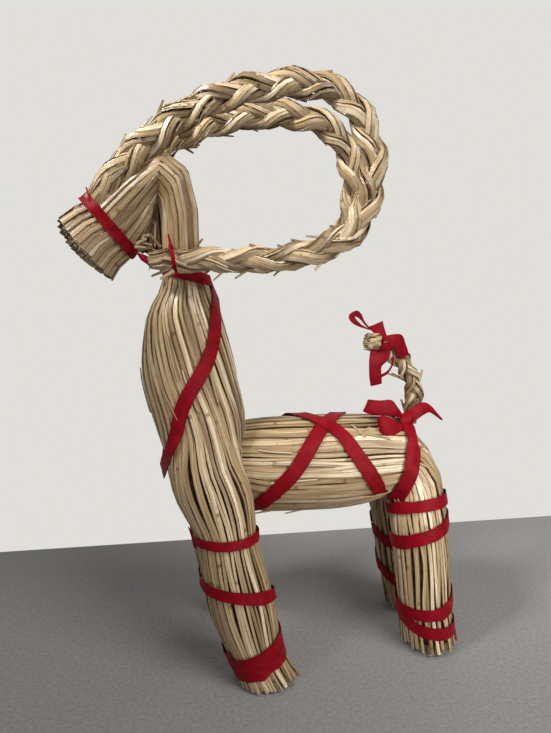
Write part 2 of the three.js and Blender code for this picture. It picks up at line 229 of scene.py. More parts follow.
def edit_all(obj, operator, **settings):
    """Runs one mesh operator on the whole mesh of an object."""
    activate(obj)
    bpy.ops.object.mode_set(mode="EDIT")
    bpy.ops.mesh.select_all(action="SELECT")
    operator(**settings)
    bpy.ops.object.mode_set(mode="OBJECT")


def new_mesh(name, points, faces, material):
    mesh = bpy.data.meshes.new(name)
    mesh.from_pydata(to_frame(points).tolist(), [], faces)
    mesh.materials.append(material)
    return mesh


def outward(mesh):
    """An object of a mesh, with its faces turned outwards."""
    made = bpy.data.objects.new(mesh.name, mesh)
    bpy.context.collection.objects.link(made)
    edit_all(made, bpy.ops.mesh.normals_make_consistent, inside=False)
    return made


def finish(piece, slot, *nodes):
    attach(piece, "root")
    if nodes:
        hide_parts(*nodes)


def tie(node, parts):
    """Joins the parts of one tied ribbon, which stands for a node."""
    activate(parts[0])
    for part in parts:
        part.select_set(True)
    bpy.ops.object.join()
    whole = bpy.context.object
    whole.name = whole.data.name = node + "_tied"
    finish(whole, "red_ribbon", node)


BLUNT = 0.62            # below 1, a straw's section gets flatter sides
STRAW_WALL = 0.3        # of the radius, at a hollow end


def straw_form(sides, rings, hollow=0.0):
    """One straw of unit length along z: a cylinder with its long edges divided, and with open ends
    where it is hollow. Given back as its points, faces and the corner map of its faces."""
    deselect()
    bpy.ops.mesh.primitive_cylinder_add(vertices=sides, radius=1, depth=1, location=(0, 0, 0.5))
    form = bpy.context.object
    form.data.transform(form.matrix_world)
    form.matrix_world.identity()
    bpy.ops.object.mode_set(mode="EDIT")
    shell = bmesh.from_edit_mesh(form.data)
    for face in shell.faces:
        face.select_set(False)
    for edge in shell.edges:
        edge.select_set(abs(edge.verts[0].co.z - edge.verts[1].co.z) > 0.5)
    bpy.ops.mesh.subdivide(number_cuts=rings - 2)
    if hollow:
        for end in (0, 1):
            shell = bmesh.from_edit_mesh(form.data)
            for face in shell.faces:
                at_end = abs(face.calc_center_median().z - end) < 1e-4
                face.select_set(len(face.verts) == sides and at_end)
            shell.select_flush_mode()
            bpy.ops.mesh.inset(thickness=STRAW_WALL)
            bpy.ops.mesh.extrude_region_move(
                TRANSFORM_OT_translate={"value": (0, 0, hollow if end == 0 else -hollow)})
    bpy.ops.object.mode_set(mode="OBJECT")
    points = np.array([v.co for v in form.data.vertices])
    points[:, :2] = np.sign(points[:, :2]) * np.abs(points[:, :2]) ** BLUNT
    faces = [tuple(f.vertices) for f in form.data.polygons]
    around = (np.arctan2(points[:, 1], points[:, 0]) / TAU) % 1
    corners = []
    for face in faces:
        turn = around[list(face)]
        turn = np.where((turn.max() - turn.min() > 0.5) & (turn < 0.5), turn + 1, turn)
        corners += [(t, points[v, 2]) for t, v in zip(turn, face)]
    bpy.data.objects.remove(form)
    return points, faces, np.array(corners)


LONG_RINGS, PLAIT_RINGS, STRAY_RINGS = 50, 90, 5
LONG_STRAW = straw_form(8, LONG_RINGS, 0.012)
PLAIT_STRAW = straw_form(6, PLAIT_RINGS)
STUB = straw_form(6, 2, 0.3)
STRAY = straw_form(4, STRAY_RINGS)
MAP_REACH = 900         # each straw has its own stretch of the grain


class Sheaf:
    """Gathers straws into one mesh, with each straw's tone and its own map."""

    def __init__(self):
        self.points, self.faces, self.corners, self.tones = [], [], [], []
        self.count = 0

    def add(self, form, centre, side, out, tone):
        """Lays one straw along a row of centres; side and out are its half width and half depth."""
        points, faces, corners = form
        place = points[:, 2] * (len(centre) - 1)
        i = np.minimum(place.astype(int), len(centre) - 2)
        t = (place - i)[:, None]
        between = lambda rows: rows[i] * (1 - t) + rows[i + 1] * t
        laid = between(centre) + between(side) * points[:, :1] + between(out) * points[:, 1:2]
        length = gaps(centre).sum()
        start = uniform(0, MAP_REACH)
        self.points.append(laid)
        self.faces += [tuple(v + self.count for v in face) for face in faces]
        self.corners.append(corners * (1, length) + (round(start), start))
        self.tones.append(np.full(len(points), tone))
        self.count += len(points)

    def piece(self, name, material, crease=38):
        mesh = new_mesh(name, np.concatenate(self.points), self.faces, material)
        own_map = mesh.uv_layers.new(name="straw")
        own_map.data.foreach_set("uv", np.concatenate(self.corners).ravel())
        tone = mesh.attributes.new("tone", "FLOAT", "POINT")
        tone.data.foreach_set("value", np.concatenate(self.tones))
        made = outward(mesh)
        bpy.ops.object.shade_smooth_by_angle(angle=math.radians(crease))
        return made


def wander(length, reach, waves=3, slow=(18, 60)):
    """A slow random drift along a straw, given at each distance along it."""
    drift = np.zeros_like(length)
    for _ in range(waves):
        drift += rng.normal(0, 1) * np.sin(length / uniform(*slow) + uniform(0, TAU))
    return reach * drift / waves


def pick(rows, where):
    """Reads rows at places along them that may lie between two."""
    return np.stack([np.interp(where, np.arange(len(rows)), column) for column in rows.T], 1)


def square_to(path, lift):
    """Side and lift directions square to a path, the lift as near as can be to the one given."""
    along = unit(np.gradient(path, axis=0))
    side = unit(np.cross(along, lift))
    return side, np.cross(side, along)


# ------ bundles of long straws

LAYERS = (0, 2, 1, 3)   # how deep neighbouring straws lie where they are crowded
LAYER_DEPTH = 1.25
FULL_CROWD = 1.3        # straws beyond one closed ring, at full layers
THICKEST = 3.2
RAGGED = 0.06           # how unevenly the straws are cut, in stations


def lay_bundle(sheaf, bundle, count, width, flatness, pinches, bend, start, legs, part_round=None,
               twist=(0, 1, 2)):
    """Lays the long straws of a bundle round its skin. Pinches are (station, depth, reach) where a
    ribbon pulls them in. Bend is the folded range of stations, which needs close rings. Start gives
    the station where a straw begins, by its turn. Legs are the stations between which the straws
    get finer, how fine, and how flat their layers get. Twist is the turn by which the straws lie
    back at the top, and the stations between which it runs out."""
    fine = np.linspace(0, bundle.last, 600)
    crowd = np.clip((count * width / bundle.girth(fine) - 1) / FULL_CROWD, 0, 1)
    flat = flatness(fine)
    pull = sum(depth * np.exp(-((fine - at) / reach) ** 2) for at, depth, reach in pinches)
    length = np.interp(fine, np.arange(bundle.last + 1), bundle.reach)
    in_bend = (smooth(fine, bend[0] - 0.6, bend[0] + 0.4)
               * smooth(fine, bend[1] + 0.8, bend[1] - 0.4))
    dense = 1 + 2.0 * ((fine > bend[0]) & (fine < bend[1]))
    in_leg = smooth(fine, *legs[:2])
    finer, flatter = 1 - (1 - legs[2]) * in_leg, 1 - (1 - legs[3]) * in_leg
    foot = smooth(fine, bundle.last - 0.9, bundle.last)
    spacing = 360 / count
    for i in range(count):
        turn0 = spacing * (i + uniform(-0.32, 0.32))
        right = turn0 % 360 < 180
        turn = (turn0 - twist[0] * (1 - smooth(fine, *twist[1:])) + wander(length, 0.5 * spacing)
                + wander(length, 0.32 * spacing, 2, (8, 16)))
        layer = LAYERS[i % 4] * LAYER_DEPTH * crowd * flatter + 0.5 * np.abs(wander(length, 1.4))
        wide = width * finer * np.clip(rng.lognormal(0, 0.24), 0.6, 1.7)
        thick = np.minimum(wide, THICKEST) * (0.62 - 0.3 * flat)
        across = wide * (1 + 0.62 * flat) * (1 - 0.10 * crowd) * (1 - 0.15 * foot)
        splay = 2.6 * uniform(-0.5, 1) * foot
        grow = splay - thick / 2 - layer - pull
        at = fine + in_bend * uniform(-0.3, 0.3)
        centre = bundle.skin(at, turn, grow, right=right)
        outer = bundle.skin(at, turn, grow + 1, right=right)
        if part_round is not None:
            centre, outer = part_round(centre, right), part_round(outer, right)
        first = start(turn0 - twist[0]) + uniform(0, RAGGED)
        last = bundle.last - uniform(0, 2 * RAGGED)
        inside = (fine >= first) & (fine <= last)
        centre, outer, rings = centre[inside], outer[inside], dense[inside]
        run = running(gaps(centre) * (rings[1:] + rings[:-1]) / 2)
        where = np.interp(np.linspace(0, run[-1], LONG_RINGS), run, np.arange(len(run)))
        path = pick(centre, where)
        side, lift = square_to(path, unit(pick(outer, where) - path))
        half_width, half_depth = pick(np.stack([across, thick], 1)[inside], where).T[..., None]
        sheaf.add(LONG_STRAW, path, side * half_width / 2, lift * half_depth / 2, uniform(0, 1))


def stray(sheaf, start, way, length, width):
    """A short loose straw that leaves the work at a point."""
    way = unit(np.asarray(way, float))
    run = np.linspace(0, 1, STRAY_RINGS)[:, None]
    side = unit(np.cross(way, [0.2, 1, 0.3]))
    out = np.cross(side, way)
    slim = 1 - 0.45 * run
    sheaf.add(STRAY, np.asarray(start, float) + way * length * run, side * slim * width / 2,
              out * slim * width / 6, uniform(0, 1))


def put_stub(sheaf, spot, inward, size):
    """A short hollow straw whose cut end shows at a spot."""
    side = unit(np.cross(inward, [0.3, 1, 0.2]))
    out = np.cross(side, inward)
    sheaf.add(STUB, np.stack([spot, spot + inward * STUB_LENGTH]), np.stack([side * size] * 2),
              np.stack([out * size * uniform(0.5, 1)] * 2), uniform(0, 1))


def loose(sheaf, bundle, rows, width, proud):
    """Loose straws that lie across the others, each from one station and turn to another."""
    run = np.linspace(0, 1, 9)
    for at0, turn0, at1, turn1 in rows:
        at, turn = at0 + (at1 - at0) * run, turn0 + (turn1 - turn0) * run
        right = (turn0 % 360) < 180
        path = bundle.skin(at, turn, proud, right=right)
        side, lift = square_to(path, unit(bundle.skin(at, turn, proud + 1, right=right) - path))
        sheaf.add(STRAY, path, side * width / 2, lift * width / 5, uniform(0.4, 1))


END_RADIUS, STUB_SPACING, STUB_LENGTH = 19, 2.8, 16


def fill_end(sheaf, bundle, at, rows, depth, right=None, cut=lambda turn: 0.0 * turn):
    """Fills a cut end of a bundle, or of one leg, with short straws inside its outer ones. Cut
    gives how many stations the end is cut back, by the turn."""
    turns = np.linspace(0, 360, 24, endpoint=False)
    one_leg = {} if right is None else {"right": right, "split": 1}
    rim = bundle.skin(at, turns, 0, **one_leg)
    deep = bundle.skin(at + (0.35 if at < 1 else -0.35), turns, 0, **one_leg)
    middle = bundle.skin(at + cut(turns), turns, 0, **one_leg).mean(0)
    direction = unit(deep.mean(0) - rim.mean(0))
    for row in range(rows):
        share = 0.8 * (row + 0.5) / rows
        number = max(1, int(round(TAU * share * END_RADIUS / STUB_SPACING)))
        for k in range(number):
            turn = 360 * (k + uniform(-0.3, 0.3)) / number
            edge = bundle.skin(at + cut(turn), turn, 0, **one_leg)
            spot = middle + (edge - middle) * (share + uniform(-0.03, 0.03))
            spot = spot + direction * uniform(0, depth)
            put_stub(sheaf, spot, unit(direction + rng.normal(0, 0.05, 3)), uniform(1.0, 1.7))


def fill_feet(sheaf, bundle):
    for right in (False, True):
        fill_end(sheaf, bundle, float(bundle.last), 5, 1.5, right)


def lay_core(name, bundle, inset, ends, part_round=None):
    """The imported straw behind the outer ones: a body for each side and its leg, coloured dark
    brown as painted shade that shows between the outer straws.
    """
    at = np.linspace(*ends, 90)
    n = 19
    faces, points = [], []
    for right in (False, True):
        turns = np.linspace(0, 180, n) + (0 if right else 180)
        rows = bundle.skin(at[:, None], turns, -inset, right=right).reshape(-1, 3)
        points.append(rows if part_round is None else part_round(rows, right))
        start = len(at) * n * right
        for a in range(start, start + (len(at) - 1) * n, n):
            for j in range(n):
                k = (j + 1) % n
                faces.append((a + j, a + k, a + k + n, a + j + n))
        faces.append(tuple(start + j for j in reversed(range(n))))
        faces.append(tuple(start + (len(at) - 1) * n + j for j in range(n)))
    return outward(new_mesh(name, np.concatenate(points), faces, INNER_SHADE))


# ------ plaits

def curve_through(keys, count=900):
    """Points at even distances along a centripetal curve through the keys."""
    keys = np.asarray(keys, float)
    keys = np.vstack([2 * keys[0] - keys[1], keys, 2 * keys[-1] - keys[-2]])
    dense = []
    for p0, p1, p2, p3 in zip(keys, keys[1:], keys[2:], keys[3:]):
        pairs = ((p0, p1), (p1, p2), (p2, p3))
        d0, d1, d2 = (max(np.linalg.norm(b - a) ** 0.5, 1e-4) for a, b in pairs)
        m1 = ((p1 - p0) / d0 - (p2 - p0) / (d0 + d1) + (p2 - p1) / d1) * d1
        m2 = ((p2 - p1) / d1 - (p3 - p1) / (d1 + d2) + (p3 - p2) / d2) * d1
        dense.append(hermite(np.linspace(0, 1, 60, endpoint=False)[:, None], p1, p2, m1, m2))
    dense = np.vstack(dense + [keys[-2][None]])
    run = running(gaps(dense))
    even = np.linspace(0, run[-1], count)
    return np.stack([np.interp(even, run, c) for c in dense.T], 1), run[-1]


def plait_of(sheaf, keys, pitch, swing, lift, half_width, half_depth, count, width, flare, strays,
             slack, slim=(0, 0, 1), ends=6):
    """Three flat strands of straw plaited along a curve. The flare spreads the strands at the two
    ends, where they lie unplaited over the slack lengths. Slim is the part by which the plait gets
    thinner, and where along it that happens."""
    path, length = curve_through(keys)
    run = np.linspace(0, 1, len(path))[:, None]
    along = unit(np.gradient(path, axis=0))
    broad = unit(np.cross(along, [0, 1, 0]))
    thick = np.cross(broad, along)
    run_length = run * length
    thin = 1 - slim[0] * smooth(run, slim[1], slim[2])
    open_start = 1 - smooth(run_length, 0.2 * slack[0], slack[0])
    open_end = smooth(run_length, length - slack[1], length)
    calm = (1 - 0.9 * open_start - 0.75 * open_end) * thin
    for strand in range(3):
        phase = TAU * run * length / pitch + strand * TAU / 3
        phase = phase + 0.22 * wander(run_length, 1.0, 2)
        fold = np.sin(phase) - 0.11 * np.sin(3 * phase) + 0.03 * np.sin(5 * phase)
        centre = path + (broad * (swing * fold * calm) + thick * (lift * np.sin(2 * phase) * calm))
        way = unit(np.gradient(centre, axis=0))
        up = unit(thick - way * (thick * way).sum(1, keepdims=True))
        across = np.cross(way, up)
        wide = (half_width * thin * (1 + flare[0] * open_start + flare[1] * open_end)
                + wander(run_length, 0.6, 3, (6, 20)))
        deep = half_depth * thin * (1 - 0.3 * open_start) * (1 + 1.5 * flare[1] * open_end)
        for k in range(count):
            angle = (TAU * (k + uniform(-0.25, 0.25)) / count + wander(run_length, 0.35)
                     + 1.15 * np.cos(phase) * calm)
            proud = 1 + wander(run_length, 0.26, 3, (5, 16))
            sideways, upward = np.cos(angle), np.sin(angle)
            at = centre + across * (wide * proud * sideways) + up * (deep * proud * upward)
            side, out = square_to(at, unit(across * (sideways / wide) + up * (upward / deep)))
            size = width * np.clip(rng.lognormal(0, 0.2), 0.65, 1.4)
            first, last = uniform(0, 0.014), 1 - uniform(0, 0.006)
            where = np.linspace(first, last, PLAIT_RINGS) * (len(path) - 1)
            sheaf.add(PLAIT_STRAW, pick(at, where), pick(side, where) * size / 2,
                      pick(out, where) * size * 0.15, uniform(0, 1))
        for _ in range(ends):
            angle, share = uniform(0, TAU), uniform(0, 0.75)
            spot = (centre[-1] - way[-1] * uniform(0, 1.5)
                    + across[-1] * (wide[-1] * share * math.cos(angle))
                    + up[-1] * (deep[-1] * share * math.sin(angle)))
            put_stub(sheaf, spot, -way[-1], uniform(0.9, 1.5))
        for _ in range(strays):
            i = rng.integers(60, len(path) - 80)
            edge = across[i] * np.sign(fold[i]) * wide[i] * 0.85
            off = way[i] * rng.choice([1, 0.6]) + edge / 18 + rng.normal(0, 0.12, 3)
            stray(sheaf, centre[i] + edge, off, uniform(8, 15), uniform(1.6, 2.8))


# ------ ribbons

RIBBON_POINTS = 7       # across a ribbon
CRINKLE = 0.25


def ribbon_grid(name, rows, width, closed=False):
    """A length of ribbon: a grid laid on rows of points across it, then given its thickness."""
    count, across = rows.shape[:2]
    deselect()
    bpy.ops.mesh.primitive_grid_add(x_subdivisions=count - 1, y_subdivisions=across - 1, size=1,
                                    location=(0, 0, 0))
    made = bpy.context.object
    mesh = made.data
    made.name = mesh.name = name
    flat = np.array([v.co for v in mesh.vertices])
    i, j = np.rint((flat[:, :2] + 0.5) * (count - 1, across - 1)).astype(int).T
    mesh.vertices.foreach_set("co", to_frame(rows[i, j]).ravel())
    run = running(gaps(rows[:, across // 2]))
    own_map = mesh.uv_layers[0]
    own_map.name = "ribbon"
    corner = np.array([loop.vertex_index for loop in mesh.loops])
    places = np.stack([run[i[corner]], width * (j[corner] / (across - 1) - 0.5)], 1)
    own_map.data.foreach_set("uv", places.ravel())
    activate(made)
    if closed:
        edit_all(made, bpy.ops.mesh.remove_doubles, threshold=0.00005)
    wall = made.modifiers.new("thickness", "SOLIDIFY")
    wall.thickness = RIBBON_THICKNESS * MM
    wall.offset = 0
    bpy.ops.object.modifier_apply(modifier=wall.name)
    mesh = made.data
    mesh.materials.clear()
    mesh.materials.append(RED)
    bpy.ops.object.shade_smooth_by_angle(angle=math.radians(50))
    return made


def keyed(keys):
    """A smooth route through keys of (station, turn)."""
    points, _ = curve_through([(at, turn / 30, 0) for at, turn in keys], 400)

    def route(t):
        where = np.clip(t, 0, 1) * (len(points) - 1)
        at, turn, _ = pick(points, where).T
        return at, turn * 30
    return route


def laid_ribbon(name, bundle, route, steps, width=RIBBON_WIDTH, lift=0.9, closed=False,
                narrow=((0, 1), (1, 1)), right=None, split=0):
    """A ribbon on a bundle's skin, a little crinkled by the straws. Narrow gives shares of its
    length, and how much narrower it is folded there."""
    t = np.linspace(0, 1, steps)
    at, turn = route(t)
    probe = 0.02
    point = lambda a, b, g=0.0: bundle.skin(a, b, g, right, split)
    per_at = (point(at + probe, turn) - point(at - probe, turn)) / (2 * probe)
    per_turn = (point(at, turn + 1) - point(at, turn - 1)) / 2
    way = unit(point(*route(np.clip(t + 0.002, 0, 1))) - point(*route(np.clip(t - 0.002, 0, 1))))
    across = (unit(np.cross(np.cross(per_turn, per_at), way))
              * (width * np.interp(t, *narrow))[:, None] / 2)
    ss, st, tt = (per_at ** 2).sum(1), (per_at * per_turn).sum(1), (per_turn ** 2).sum(1)
    sa, ta = (per_at * across).sum(1), (per_turn * across).sum(1)
    scale = 1 / (ss * tt - st * st)
    d_at, d_turn = (sa * tt - ta * st) * scale, (ta * ss - sa * st) * scale
    shares = np.linspace(-1, 1, RIBBON_POINTS)
    waves = np.sin(turn[:, None] * 0.21 + shares * 1.3 + uniform(0, 6))
    lifts = lift + CRINKLE * waves * (0.4 + 0.6 * np.abs(shares))
    rows = point(at[:, None] + shares * d_at[:, None],
                 turn[:, None] + shares * d_turn[:, None], lifts)
    if closed:
        rows[-1] = rows[0]
    return ribbon_grid(name, rows, width, closed)


def edged_ribbon(name, edges, steps=26, width=RIBBON_WIDTH, belly=0.6):
    """A ribbon through the air. Each row is a point on its one edge, then the point across."""
    edges = np.array(edges, float)
    first, second = (curve_through(edge, steps)[0] for edge in (edges[:, :3], edges[:, 3:]))
    shares = np.linspace(0, 1, RIBBON_POINTS)
    rows = first[:, None] * (1 - shares)[None, :, None] + second[:, None] * shares[None, :, None]
    rows[..., 1] -= belly * np.sin(math.pi * shares)[None, :]
    return ribbon_grid(name, rows, width)


def strips(*parts):
    return [edged_ribbon(*part) for part in parts]


# ------ materials

def feed(tree, node, inputs):
    """Sets a node's inputs to values, or links them to other nodes' outputs."""
    for socket, value in inputs.items():
        if isinstance(value, bpy.types.NodeSocket):
            tree.links.new(value, node.inputs[socket])
        else:
            node.inputs[socket].default_value = value


def add(tree, kind, inputs, **settings):
    """Adds a node with its settings and inputs, and gives its outputs."""
    node = tree.nodes.new("ShaderNode" + kind)
    for name, value in settings.items():
        setattr(node, name, value)
    feed(tree, node, inputs)
    return node.outputs


def maths(tree, operation, *values):
    return add(tree, "Math", dict(enumerate(values)), operation=operation)["Value"]


def spread(tree, value, low, high, out_low=0.0, out_high=1.0):
    """Moves a value from one range to another and holds it there."""
    return add(tree, "MapRange", {"Value": value, "From Min": low, "From Max": high,
                                  "To Min": out_low, "To Max": out_high})["Result"]


def noise(tree, vector, scale, detail):
    return add(tree, "TexNoise", {"Vector": vector, "Scale": scale, "Detail": detail})["Fac"]


def shaded(tree, value, stops):
    """The colour of a ramp at a value; each stop is its place and its colour."""
    node = tree.nodes.new("ShaderNodeValToRGB")
    feed(tree, node, {"Fac": value})
    elements = node.color_ramp.elements
    while len(elements) > 1:
        elements.remove(elements[-1])
    elements[0].position = stops[0][0]
    for i, (place, colour) in enumerate(stops):
        element = elements.new(place) if i else elements[0]
        element.color = (*colour, 1)
    return node.outputs["Color"]


def darkened(tree, factor, colour, by):
    return add(tree, "Mix", {"Factor": factor, 6: colour, 7: (*by, 1)},
               data_type="RGBA", blend_type="MULTIPLY")[2]


def bumped(tree, height, strength, distance):
    return add(tree, "Bump", {"Height": height, "Strength": strength,
                              "Distance": distance})["Normal"]


def new_material(name):
    material = bpy.data.materials.new(name)
    material.use_nodes = True
    return material, material.node_tree, material.node_tree.nodes["Principled BSDF"]


def new_group(name, ins, outs):
    """A shader node group with number inputs, given with their usual values, and number outputs."""
    group = bpy.data.node_groups.new(name, "ShaderNodeTree")

    def socket(label, way):
        return group.interface.new_socket(name=label, in_out=way, socket_type="NodeSocketFloat")

    for label, value in ins.items():
        socket(label, "INPUT").default_value = value
    for label in outs:
        socket(label, "OUTPUT")
    start, end = (group.nodes.new("NodeGroup" + way) for way in ("Input", "Output"))
    return group, start.outputs, end


JOINT_SPACING = 95      # along a straw, in millimetres


def straw_grain_group():
    """Fibres that run along a straw, its joints and small spots, from the straw's own map, and a
    mask for painted shade along the straw's side edges.
    """
    group, given, end = new_group("straw grain", {"Fibre": 9.0, "Spots": 0.62},
                                  ("Fibre", "Joint", "Spot", "Fade", "EdgeShade"))
    own_map = add(group, "UVMap", {}, uv_map="straw")["UV"]
    around, along, _ = add(group, "SeparateXYZ", {"Vector": own_map})

    def stretched(scale, detail):
        place = add(group, "Mapping", {"Vector": own_map, "Scale": scale})["Vector"]
        return noise(group, place, 1, detail)

    fine = add(group, "CombineXYZ", {"X": given["Fibre"], "Y": 0.035, "Z": 1})["Vector"]
    from_joint = maths(group, "PINGPONG", along, JOINT_SPACING)
    # Painted shade along each straw's side edges, where straws meet: near 1 at the side edges,
    # broken up by noise.
    angle = maths(group, "MULTIPLY", around, TAU)
    from_front = maths(group, "ABSOLUTE", maths(group, "COSINE", angle))
    broken = spread(group, stretched((0.9, 0.045, 1), 2), 0.36, 0.62, 0.5)
    feed(group, end, {
        "Fibre": stretched(fine, 4),
        "Fade": stretched((0.7, 0.011, 1), 2),
        "Spot": spread(group, stretched((5, 0.22, 1), 2), given["Spots"], 0.8),
        "Joint": spread(group, from_joint, 1.6, 0.3),
        "EdgeShade": maths(group, "MULTIPLY", spread(group, from_front, 0.56, 0.9), broken)})
    return group


def straw_material(name, stops, dark, rough, bump, fibre, spots):
    """Dry straw: every straw its own tone, fine fibres, darker joints, painted shade along each
    straw's side edges where straws meet, and a waxy sheen.
    """
    material, tree, surface = new_material(name)
    tone = add(tree, "Attribute", {}, attribute_name="tone")["Fac"]
    grain = add(tree, "Group", {"Fibre": fibre, "Spots": spots}, node_tree=GRAIN)
    faded = maths(tree, "ADD", tone, spread(tree, grain["Fade"], 0.3, 0.7, -0.22, 0.22))
    colour = shaded(tree, faded, stops)
    # The last mark is painted shade: each straw's side edges are darkened to draw the shaded lines
    # where straws meet.
    for mark, low, high, at_low, at_high, by in (
            ("Fibre", 0.36, 0.66, 0.62, 0.0, dark), ("Joint", 0, 1, 0, 0.75, dark),
            ("Spot", 0, 1, 0, 0.8, dark), ("EdgeShade", 0, 1, 0, 0.9, STRAW_EDGE_SHADE)):
        colour = darkened(tree, spread(tree, grain[mark], low, high, at_low, at_high), colour, by)
    feed(tree, surface, {
        "Base Color": colour,
        "Roughness": spread(tree, grain["Fibre"], 0.3, 0.7, rough + 0.16, rough - 0.08),
        "Normal": bumped(tree, grain["Fibre"], bump, 0.0006),
        "Specular IOR Level": 0.6})
    return material


def mottled_material(name, scale, detail, stops, rough):
    """A matt surface with its colours in small patches."""
    material, tree, surface = new_material(name)
    place = add(tree, "TexCoord", {})["Object"]
    feed(tree, surface, {"Base Color": shaded(tree, noise(tree, place, scale, detail), stops),
                         "Roughness": rough})
    return material


def ribbon_weave_group():
    """A fine ribbed weave with a firm edge, from the ribbon's own map in millimetres."""
    group, given, end = new_group("ribbon weave", {"Threads": 3.2}, ("Weave", "Edge", "Wear"))
    own_map = add(group, "UVMap", {}, uv_map="ribbon")["UV"]
    along, across, _ = add(group, "SeparateXYZ", {"Vector": own_map})

    def wave(place, factor):
        scaled = maths(group, "MULTIPLY", place, factor)
        return maths(group, "SINE", maths(group, "MULTIPLY", scaled, given["Threads"]))

    feed(group, end, {
        "Weave": maths(group, "MULTIPLY", wave(along, 2.4), wave(across, 2.0)),
        "Edge": spread(group, maths(group, "ABSOLUTE", across), 3.9, 4.7),
        "Wear": noise(group, own_map, 0.16, 3)})
    return group


def ribbon_material():
    material, tree, surface = new_material("red satin ribbon")
    cloth = add(tree, "Group", {}, node_tree=ribbon_weave_group())
    red = shaded(tree, cloth["Wear"], [
        (0.3, (0.17, 0.0016, 0.006)), (0.5, (0.215, 0.0022, 0.0085)), (0.7, (0.26, 0.0035, 0.011))])
    feed(tree, surface, {
        "Base Color": darkened(tree, cloth["Edge"], red, (0.72, 0.6, 0.6)),
        "Roughness": spread(tree, cloth["Weave"], -1, 1, 0.36, 0.5),
        "Normal": bumped(tree, cloth["Weave"], 0.35, 0.0001),
        "Specular IOR Level": 0.09,
        "Sheen Weight": 0.02,
        "Sheen Roughness": 0.4,
        "Sheen Tint": (1, 0.2, 0.25, 1)})
    return material


# Colour of the painted shade along each straw's side edges, where straws meet.
STRAW_EDGE_SHADE = (0.17, 0.10, 0.042)
GRAIN = straw_grain_group()
STRAW = straw_material(
    "dry straw",
    [(0.0, (0.25, 0.165, 0.075)), (0.2, (0.44, 0.32, 0.17)), (0.6, (0.57, 0.43, 0.245)),
     (0.85, (0.68, 0.53, 0.33)), (1.0, (0.84, 0.72, 0.52))],
    (0.40, 0.26, 0.12), rough=0.33, bump=0.6, fibre=8.0, spots=0.62)
PLAIT = straw_material(
    "plaited straw",
    [(0.0, (0.28, 0.19, 0.09)), (0.25, (0.51, 0.385, 0.21)), (0.65, (0.65, 0.505, 0.30)),
     (1.0, (0.86, 0.75, 0.55))],
    (0.38, 0.24, 0.11), rough=0.30, bump=0.7, fibre=9.0, spots=0.6)
# Very dark browns that paint the shade inside the bundles and in the gap under the chin, not the
# straw's own colour.
INNER_SHADE = mottled_material("inner straw in painted shade", 260, 3, [
    (0.35, (0.035, 0.018, 0.007)), (0.6, (0.11, 0.06, 0.022)), (0.8, (0.22, 0.13, 0.05))], 0.85)
RED = ribbon_material()


# ------ head, neck and front legs

BODY_END_HALF = 24.5


def round_the_body(points, right):
    """Straws of the front bundle part to either side of the body's end instead of piercing it."""
    points = np.array(points)
    x, y, z = points.T
    open_by = BODY_END_HALF * smooth(z, 208, 168) * smooth(z, 84, 106) * smooth(x, -72, -60)
    sign = 1 if right else -1
    slack = open_by - sign * y
    points[:, 1] = np.where(slack > 0, sign * (open_by - 0.12 * slack), y)
    return points


MUZZLE_TURNS = (0, 30, 60, 90, 120, 150, 180, 270, 360)
MUZZLE_CUT = (0.5, 0.14, 0, 0.02, 0.18, 0.34, 0.45, 0.47, 0.5)


def muzzle_cut(turn):
    """How far the straws are cut back round the muzzle: they stay longest on its far side."""
    return np.interp(turn % 360, MUZZLE_TURNS, MUZZLE_CUT)


def tied_in(bundle, *ties):
    """Where a leg's ribbon pulls the straws in: each tie is its height, depth and reach."""
    return [(bundle.at_height(z), depth, reach) for z, depth, reach in ties]


straws = Sheaf()
lay_bundle(
    straws, front, 98, 3.25, lambda at: 1 - smooth(at, 7.4, 9.2),
    [(2, 0.5, 0.35), (8, 0.5, 0.4)]
    + tied_in(front, (99, 1.0, 0.25), (66, 0.9, 0.2), (23, 1.1, 0.2)),
    (3.0, 6.2), muzzle_cut, (10.6, 12.8, 0.76, 0.35), round_the_body, twist=(34, 8.1, 11.4))
fill_end(straws, front, 0.0, 6, 2.5, cut=muzzle_cut)
fill_feet(straws, front)
loose(straws, front, [
    (9.3, 246, 10.1, 256), (9.9, 262, 10.6, 272), (9.5, 292, 10.5, 297), (10.3, 236, 10.9, 250),
    (9.2, 70, 10.0, 76), (9.9, 110, 10.6, 104), (10.0, 180, 10.8, 190), (9.1, 214, 9.8, 222)
], 2.0, 0.5)

# The gap between chin and neck: its top in the fold, and its foot from front to back.
CHIN_TOP, CHIN_FRONT, CHIN_BACK = (-71.5, 313.5), (-84, 287.5), (-69.5, 284)


def chin_straw(sheaf, half_gap, width):
    """A straw in the gap between the chin and the neck, from the fold down."""
    share, y = uniform(0, 1), uniform(-half_gap, half_gap)
    foot = [CHIN_FRONT[i] * (1 - share) + CHIN_BACK[i] * share for i in (0, 1)]
    top = np.array([CHIN_TOP[0] + uniform(-1, 1), y, CHIN_TOP[1] + uniform(-3, 2)])
    way = np.array([foot[0], y + uniform(-2, 2), foot[1]]) - top
    stray(sheaf, top, way, np.linalg.norm(way) * uniform(0.9, 1.1), width)


for _ in range(9):
    chin_straw(straws, 12, 2.4)
